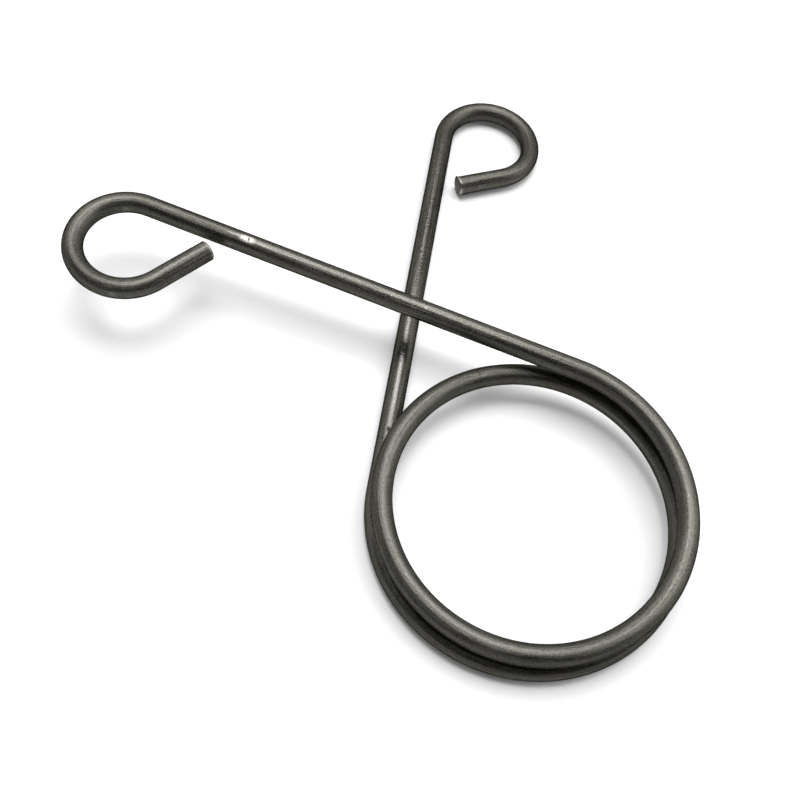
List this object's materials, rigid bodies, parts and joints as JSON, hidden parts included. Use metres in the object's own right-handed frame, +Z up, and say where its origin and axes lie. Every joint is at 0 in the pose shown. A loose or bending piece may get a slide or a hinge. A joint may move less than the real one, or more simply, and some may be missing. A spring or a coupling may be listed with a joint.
{
  "type": "torsion spring",
  "caption": "Wide torsion spring of dark round spring wire, its straight arms crossing beyond the coil and ending in open hooked eyes.",
  "frame": {"origin": "where the coil's axis meets the surface the spring lies on", "axes": "+Z up from that surface, nearly along the coil's axis; +Y out from the coil, midway between the two arms"},
  "size_m": [0.0537, 0.0605, 0.008],
  "materials": {
    "spring_wire": "dark oil-tempered steel, satin, with fine draw lines"
  },
  "bodies": {
    "root": {"torsion_spring": "spring_wire"}
  },
  "joints": []
}
